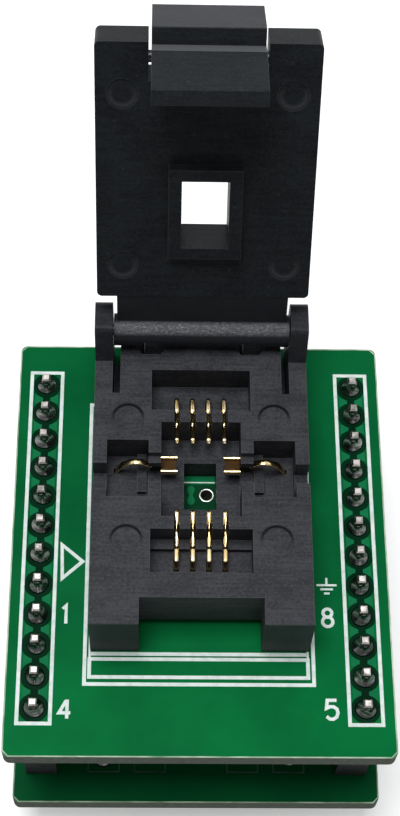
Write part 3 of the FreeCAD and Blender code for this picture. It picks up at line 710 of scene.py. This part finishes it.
def print_digit(bm, digit, x, y, z):
    for layer, loop in enumerate(DIGITS[digit]):
        points = [(x + px * DIGIT_HEIGHT * 0.5, y + py * DIGIT_HEIGHT * 0.5) for px, py in loop]
        top = z + INK_LIFT * (1 - 0.3 * layer)
        add_stroke(bm, points, DIGIT_WIDTH, z, top, closed=digit in CLOSED_DIGITS)


def print_ground_sign(bm, z):
    stem = [(SIGN_X, SIGN_Y + rise) for rise in SIGN_STEM]
    add_stroke(bm, in_mm(stem), SIGN_WIDTH, z, z + INK_LIFT * 0.7)
    for half, rise in SIGN_BARS:
        bar = [(SIGN_X - half, SIGN_Y + rise), (SIGN_X + half, SIGN_Y + rise)]
        add_stroke(bm, in_mm(bar), SIGN_WIDTH, z, z + INK_LIFT)


def upper_printing():
    """Outlines, the pin-one mark, pin numbers and a ground sign on the upper board."""
    bm = bmesh.new()
    z = deck + FILM
    outlines = [centred(side * HEADER_X, HEADER_FRAME_WIDTH, HEADER_FRAME_LENGTH) for side in (-1, 1)]
    outlines += [in_mm(outline) for outline in OUTLINES]
    for outline in outlines:
        add_stroke(bm, outline, INK_WIDTH, z, z + INK_LIFT, closed=True)
    for points, width, share in LINES:
        add_stroke(bm, in_mm(points), width, z, z + INK_LIFT * share)
    for digit, x, y in DIGIT_PLACES:
        print_digit(bm, digit, x * MM, y * MM, z)
    print_ground_sign(bm, z)
    finish("upper_printing", bm, INK, "base")


def lower_printing():
    """Row outlines on the lower board, seen through the gap between the boards, in ink painted in shade."""
    bm = bmesh.new()
    z = lower_deck + FILM
    for x in LOWER_ROWS:
        add_stroke(bm, centred(x * MM, PITCH, PITCH * PIN_ROWS), FINE_WIDTH, z, z + INK_LIFT, closed=True)
    finish("lower_printing", bm, SHADED_INK, "base")


# Films on the boards

def board_rims():
    """Pale line along the routed edge of each board, where the mask is worn off the corner."""
    for word, low, high in (("upper", upper_low, upper_high), ("lower", lower_low, lower_high)):
        bm = bmesh.new()
        outline = rectangle(low.x + RIM_INSET, high.x - RIM_INSET, low.y + RIM_INSET, high.y - RIM_INSET)
        clipped = []
        for i, spot in enumerate(outline):
            corner = Vector(spot)
            for other in (outline[i - 1], outline[(i + 1) % 4]):
                clipped.append(tuple(corner + (Vector(other) - corner).normalized() * RIM_CORNER))
        add_stroke(bm, clipped, RIM_WIDTH, high.z, high.z + FILM, closed=True)
        finish(word + "_board_rim", bm, BARE_EDGE, "base")


def link_outline(x, y):
    """A copper link between two neighbouring pads, waisted in the middle."""
    half = LINK_LENGTH / 2
    return [(x - LINK_FLARE, y - half), (x, y - LINK_WAIST), (x + LINK_FLARE, y - half),
            (x + LINK_FLARE, y + half), (x, y + LINK_WAIST), (x - LINK_FLARE, y + half)]


def header_films(copper, clearances, x):
    """Links between the pads of a header, and the dark clearances round them."""
    places = pin_places()
    for y, after in zip(places, places[1:]):
        add_plate(copper, link_outline(x, (y + after) / 2), deck, COPPER_TOP)
    shade = rectangle(x - LINK_SHADE, x + LINK_SHADE, places[0], places[-1])
    add_plate(clearances, shade, deck, SHADE_TOP)
    for y in places:
        add_plate(clearances, circle_points(x, y, MASK_RADIUS, 32), deck, CLEARANCE_TOP)


def upper_films():
    """Copper that shows through the mask, clearances at the headers, and the mask under the package, painted
    in shade.
    """
    copper = bmesh.new()
    clearances = bmesh.new()
    seat_film = bmesh.new()
    for side in (-1, 1):
        header_films(copper, clearances, side * HEADER_X)
    plane_y = VIA_Y + PLANE_BACK
    plane = rectangle(-OPENING_HALF, OPENING_HALF, plane_y, plane_y + PLANE_DEPTH)
    for outline in (trace_outline(TRACE_X, VIA_Y), plane):
        add_plate(copper, outline, deck, COPPER_TOP)
    for outline in holed_halves(VIA_Y - OPENING_FRONT, plane_y - PLANE_GAP, VIA_RING_RADIUS * RING_OVERLAP):
        add_plate(seat_film, outline, deck, SEAT_TOP)
    finish("upper_copper", copper, COPPER_FILM, "base")
    finish("upper_clearances", clearances, DARK_FILM, "base")
    finish("seat_mask", seat_film, SHADED_FILM, "base")


def holed_halves(low, high, radius):
    """Two outlines that together make a plate with a round hole at the plated hole's place."""
    steps = 16
    outlines = []
    for way in (-1, 1):
        arc = []
        for k in range(steps + 1):
            angle = math.pi * (k / steps - 0.5)
            arc.append((VIA_X + way * radius * math.cos(angle), VIA_Y + radius * math.sin(angle)))
        edge = way * OPENING_HALF
        outline = [(edge, low), (VIA_X, low)] + arc + [(VIA_X, high), (edge, high)]
        outlines.append(outline if way < 0 else list(reversed(outline)))
    return outlines


def trace_outline(x, y):
    """Outline of a rounded trace with a narrow waist, running along Y."""
    steps = 20
    right = []
    for k in range(steps + 1):
        share = 2 * k / steps - 1
        waist = 1 - TRACE_WAIST * math.exp(-(share / TRACE_WAIST_LENGTH) ** 2)
        swell = math.sqrt(max(1 - share ** 6, 0)) * waist
        right.append((max(TRACE_HALF_WIDTH * swell, TRACE_LEAST), TRACE_HALF_LENGTH * share))
    left = [(-across, along) for across, along in reversed(right)]
    return [(x + across, y + along) for across, along in right + left]


def via_ring():
    """The bare tinned ring round the hole under the package."""
    bm = bmesh.new()
    steps = 40
    top = deck + VIA_RING_LIFT
    profile = ((VIA_HOLE_RADIUS, deck), (VIA_RING_RADIUS, deck), (VIA_RING_RADIUS - VIA_RING_SLOPE, top),
               (VIA_HOLE_RADIUS, top))
    rings = []
    for radius, z in profile:
        rings.append([bm.verts.new((x, y, z)) for x, y in circle_points(VIA_X, VIA_Y, radius, steps)])
    for inner, outer in zip(rings, rings[1:] + rings[:1]):
        for k in range(steps):
            j = (k + 1) % steps
            bm.faces.new((inner[k], outer[k], outer[j], inner[j]))
    bmesh.ops.recalc_face_normals(bm, faces=bm.faces)
    finish("via_ring", bm, BRIGHT_TIN, "base", smooth=True)


# Solder joints

JOINT_AROUND = 20
JOINT_STEPS = 9
JOINT_TOP_RADIUS = 0.56 * PIN_SIDE
JOINT_HOLLOW = 2.1
JOINT_WOBBLE = 0.05
JOINT_LEAN = 0.12
TOP_JOINT = 1.0 * MM
UNDER_JOINT = 0.95 * MM
DIP_JOINT = 0.8 * MM


def solder_profile(base_radius, height):
    """A hollow-sided cone, as solder climbs a pin."""
    points = []
    for k in range(JOINT_STEPS + 1):
        share = k / JOINT_STEPS
        radius = JOINT_TOP_RADIUS + (base_radius - JOINT_TOP_RADIUS) * (1 - share) ** JOINT_HOLLOW
        points.append((radius, height * share))
    return points


def add_joint(bm, x, y, z, way, base_radius, height, lean):
    """A solder cone that goes up or down from z, a little out of round and leaning along X."""
    rings = []
    for radius, rise in solder_profile(base_radius, height):
        ring = []
        for k in range(JOINT_AROUND):
            angle = math.tau * k / JOINT_AROUND
            wobble = 1 + JOINT_WOBBLE * math.sin(2 * angle + lean * 9) * (1 - rise / height)
            px = x + radius * wobble * math.cos(angle) + lean * rise * JOINT_LEAN
            py = y + radius * wobble * math.sin(angle)
            ring.append(bm.verts.new((px, py, z + way * rise)))
        rings.append(ring)
    for low, high in zip(rings, rings[1:]):
        for k in range(JOINT_AROUND):
            j = (k + 1) % JOINT_AROUND
            face = (low[k], low[j], high[j], high[k])
            bm.faces.new(face if way > 0 else tuple(reversed(face)))
    bm.faces.new(list(reversed(rings[0])) if way > 0 else rings[0])
    bm.faces.new(rings[-1] if way > 0 else list(reversed(rings[-1])))


def solder_row(name, node, x, z, way, height):
    """Twelve joints, each a little different, in the place of one node."""
    bm = bmesh.new()
    for y in pin_places():
        base = PAD_RADIUS * random.uniform(0.94, 1.06)
        add_joint(bm, x, y, z, way, base, height * random.uniform(0.85, 1.1), random.uniform(-1, 1))
    piece = finish(name, bm, MATERIALS["solder"], "base", smooth=True)
    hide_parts(node)


def solder_joints():
    for side, word in ((-1, "left"), (1, "right")):
        x = side * HEADER_X
        solder_row(word + "_top_joints", word + "_upper_solder", x, deck, 1, TOP_JOINT)
        solder_row(word + "_under_joints", word + "_lower_solder", x, lower_low.z, -1, UNDER_JOINT)
        solder_row(word + "_dip_joints", word + "_dip_solder", side * DIP_X, lower_deck, 1, DIP_JOINT)


# Contacts

def bent_path(points, bend):
    """Spots and headings along a bent line, each corner rounded with that radius."""
    steps = 5
    path = []
    spots = [Vector(p) for p in points]
    for i, spot in enumerate(spots):
        if i in (0, len(spots) - 1):
            way = spots[1] - spot if i == 0 else spot - spots[-2]
            path.append((spot, math.atan2(way.y, way.x)))
            continue
        u = (spot - spots[i - 1]).normalized()
        w = (spots[i + 1] - spot).normalized()
        turn = math.atan2(u.x * w.y - u.y * w.x, u.dot(w))
        back = bend * math.tan(abs(turn) / 2)
        way = 1 if turn > 0 else -1
        centre = spot - u * back + Vector((-u.y, u.x)) * bend * way
        start = math.atan2(u.y, u.x)
        for k in range(steps + 1):
            heading = start + turn * k / steps
            out = Vector((math.sin(heading), -math.cos(heading))) * way
            path.append((centre + out * bend, heading))
    return path


def add_strip(bm, path, place, width, thickness):
    """A strip of metal with rounded edges along a path; place puts it in space."""
    soft = 0.2 * min(width, thickness)
    half = width / 2
    deep = thickness / 2
    section = [(half, deep - soft), (half - soft, deep), (-half + soft, deep), (-half, deep - soft),
               (-half, -deep + soft), (-half + soft, -deep), (half - soft, -deep), (half, -deep + soft)]
    rings = []
    for spot, heading in path:
        normal = Vector((-math.sin(heading), math.cos(heading)))
        ring = []
        for across, rise in section:
            p = spot * MM + normal * rise
            ring.append(bm.verts.new(place(p.x, p.y, across)))
        rings.append(ring)
    for a, b in zip(rings, rings[1:]):
        for k in range(8):
            j = (k + 1) % 8
            bm.faces.new((a[k], b[k], b[j], a[j]))
    for ring in (rings[0], list(reversed(rings[-1]))):
        cap = bm.faces.new(ring)
        for edge in cap.edges:
            edge.smooth = False


def along_y(x, side):
    """Places a path at X, in the plane that runs from the package centre to the rear or the front."""
    return lambda u, z, across: (x + across, PACKAGE_Y + side * u, deck + z)


def along_x(y, side):
    """Places a path at Y, in the plane that runs from the middle line to the right or the left."""
    return lambda u, z, across: (side * u, y + across, deck + z)


def signal_contacts():
    """Two rows of bent strips whose upper ends carry the package's pads."""
    for side, word in ((1, "rear"), (-1, "front")):
        for index in range(CONTACT_COUNT):
            x = (index - (CONTACT_COUNT - 1) / 2) * CONTACT_PITCH
            tail = CONTACT_TAILS[index % 2]
            points = [(tail, TAIL_BELOW), (tail, CONTACT_RUN[0][1])] + CONTACT_RUN
            bm = bmesh.new()
            add_strip(bm, bent_path(points, CONTACT_BEND), along_y(x, side), CONTACT_WIDTH, CONTACT_STRIP)
            bmesh.ops.recalc_face_normals(bm, faces=bm.faces)
            number = word + "_contact_" + str(index + 1)
            piece = finish(number + "_strip", bm, MATERIALS["gold"], "base", smooth=True)
            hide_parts(number)


def ground_contacts():
    """A bowed strip on either side that ends in two prongs, with a plate and a link in painted shade between
    them.
    """
    for side, word in ((-1, "left"), (1, "right")):
        bm = bmesh.new()
        add_strip(bm, bent_path(GROUND_RUN, GROUND_BEND), along_x(GROUND_Y, side), GROUND_WIDTH, GROUND_METAL)
        for step in (-0.5, 0.5):
            place = along_x(GROUND_Y + step * PRONG_SPACING, side)
            add_strip(bm, bent_path(PRONG_RUN, CONTACT_BEND), place, PRONG_METAL, PRONG_HEIGHT)
        bmesh.ops.recalc_face_normals(bm, faces=bm.faces)
        piece = finish("ground_strip_" + word, bm, MATERIALS["gold"], "base", smooth=True)
        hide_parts("ground_contact_" + word)
        # Plate and link between the prongs, in painted shade
        plate = bmesh.new()
        half = PRONG_SPACING / 2 + PLATE_MARGIN
        top = deck + PLATE_TOP
        x0, x1 = sorted(side * end * MM for end in PLATE_RUN)
        outline = rectangle(x0, x1, GROUND_Y - half, GROUND_Y + half)
        link = bent_path(GROUND_LINK, CONTACT_BEND)
        add_strip(plate, link, along_x(GROUND_Y, side), GROUND_METAL, GROUND_METAL)
        add_plate(plate, outline, top - GROUND_METAL, top + PLATE_PROUD)
        finish("ground_plate_" + word, plate, SHADED_GOLD, "base")


# Stage, lamps and camera

FLOOR_HALF = 3.0
FLOOR_WHITE = (0.9, 0.9, 0.9, 1)
FLOOR_GLOW = 0.35
WHITE = (1, 1, 1, 1)

# Sky: its colour, and its strength at two places along Y, as lit and as mirrored
SKY = (0.94, 0.96, 1.0, 1)
SKY_LIT = (-0.4, 0.1, 0.9, 0.75)
SKY_MIRRORED = (-0.5, 0.25, 0.2, 1.0)

# Lamps: name, place and size in metres, power in watts
LAMPS = [
    ("overhead", (-0.07, 0.0, 0.62), (0.3, 0.26), 2.75),
    ("front_fill", (0.15, -0.5, 0.3), (0.4, 0.3), 0.25),
]


def make_stage():
    """White floor that keeps the shadow, and glows a little for the camera and in reflections."""
    bm = bmesh.new()
    outline = rectangle(-FLOOR_HALF, FLOOR_HALF, -FLOOR_HALF, FLOOR_HALF)
    bm.faces.new([bm.verts.new((x, y, 0)) for x, y in outline])
    mesh = bpy.data.meshes.new("floor")
    bm.to_mesh(mesh)
    bm.free()
    floor = bpy.data.objects.new("floor", mesh)
    scene.collection.objects.link(floor)
    material, tree, shader = new_material("white_sweep")
    shader.inputs["Base Color"].default_value = FLOOR_WHITE
    shader.inputs["Roughness"].default_value = 0.9
    path = add(tree, "ShaderNodeLightPath")
    seen = calculate(tree, "MAXIMUM", path.outputs["Is Camera Ray"], path.outputs["Is Glossy Ray"])
    glow = add(tree, "ShaderNodeEmission")
    glow.inputs["Color"].default_value = WHITE
    glow.inputs["Strength"].default_value = FLOOR_GLOW
    both = add(tree, "ShaderNodeAddShader")
    tree.links.new(shader.outputs["BSDF"], both.inputs[0])
    tree.links.new(glow.outputs["Emission"], both.inputs[1])
    pick_shader(tree, seen, shader.outputs["BSDF"], both.outputs["Shader"], "Material Output")
    mesh.materials.append(material)


def pick_shader(tree, factor, a, b, output):
    """Shader a where the factor is nought and b where it is one, as the tree's surface."""
    pick = add(tree, "ShaderNodeMixShader")
    for socket, value in zip(pick.inputs, (factor, a, b)):
        tree.links.new(value, socket)
    tree.links.new(pick.outputs["Shader"], tree.nodes[output].inputs["Surface"])


def make_world():
    """White to the camera, and a sky that grows from front to rear, with a steeper one in reflections."""
    world = bpy.data.worlds.new("studio")
    world.use_nodes = True
    scene.world = world
    tree = world.node_tree
    sky = tree.nodes["Background"]
    sky.inputs["Color"].default_value = SKY
    way = add(tree, "ShaderNodeTexCoord")
    parts = add(tree, "ShaderNodeSeparateXYZ")
    tree.links.new(way.outputs["Generated"], parts.inputs["Vector"])
    path = add(tree, "ShaderNodeLightPath")
    lit = number_ramp(tree, parts.outputs["Y"], *SKY_LIT)
    mirrored = number_ramp(tree, parts.outputs["Y"], *SKY_MIRRORED)
    strength = add(tree, "ShaderNodeMix")
    numbers = [socket for socket in strength.inputs if socket.type == "VALUE"]
    for socket, value in zip(numbers, (path.outputs["Is Glossy Ray"], lit, mirrored)):
        tree.links.new(value, socket)
    tree.links.new(strength.outputs["Result"], sky.inputs["Strength"])
    white = add(tree, "ShaderNodeBackground")
    white.inputs["Color"].default_value = WHITE
    white.inputs["Strength"].default_value = 1.0
    pick_shader(tree, path.outputs["Is Camera Ray"], sky.outputs["Background"], white.outputs["Background"],
                "World Output")


def area_lamp(name, place, size, power):
    """Lamp of that size in metres, aimed at the middle of the upper board."""
    lamp = bpy.data.lights.new(name, "AREA")
    lamp.shape = "RECTANGLE"
    lamp.size, lamp.size_y = size
    lamp.energy = power
    piece = bpy.data.objects.new(name, lamp)
    scene.collection.objects.link(piece)
    piece.location = place
    way = Vector((0, 0, deck)) - Vector(place)
    piece.rotation_euler = way.to_track_quat("-Z", "Y").to_euler()


def make_lamps():
    for name, place, size, power in LAMPS:
        area_lamp(name, place, size, power)


def make_camera():
    """The photograph's camera, fitted to the header pins."""
    rise = math.radians(ELEVATION)
    turn = math.radians(YAW)
    roll = math.radians(ROLL)
    tilt = Matrix(((1, 0, 0), (0, math.sin(rise), math.cos(rise)), (0, -math.cos(rise), math.sin(rise))))
    spin = Matrix(((math.cos(turn), math.sin(turn), 0), (-math.sin(turn), math.cos(turn), 0), (0, 0, 1)))
    lean = Matrix(((math.cos(roll), math.sin(roll), 0), (-math.sin(roll), math.cos(roll), 0), (0, 0, 1)))
    axes = lean @ tilt @ spin
    back = Vector(axes[2])
    eye = Vector((TARGET_X * MM, TARGET_Y * MM, deck)) + back * DISTANCE * MM
    data = bpy.data.cameras.new("photo_camera")
    data.sensor_fit = "VERTICAL"
    data.sensor_height = SENSOR
    data.lens = FOCAL_PIXELS * SENSOR / IMAGE_HEIGHT
    data.clip_start = CLIP_START * MM
    camera = bpy.data.objects.new("photo_camera", data)
    scene.collection.objects.link(camera)
    camera.matrix_world = Matrix.Translation(eye) @ axes.transposed().to_4x4()
    scene.camera = camera


dress_frame()
soften(["socket_body", "lid", "latch"])
upper_films()
via_ring()
upper_printing()
lower_printing()
board_rims()
solder_joints()
signal_contacts()
ground_contacts()
make_stage()
make_world()
make_lamps()
make_camera()
scene.view_settings.view_transform = "Standard"
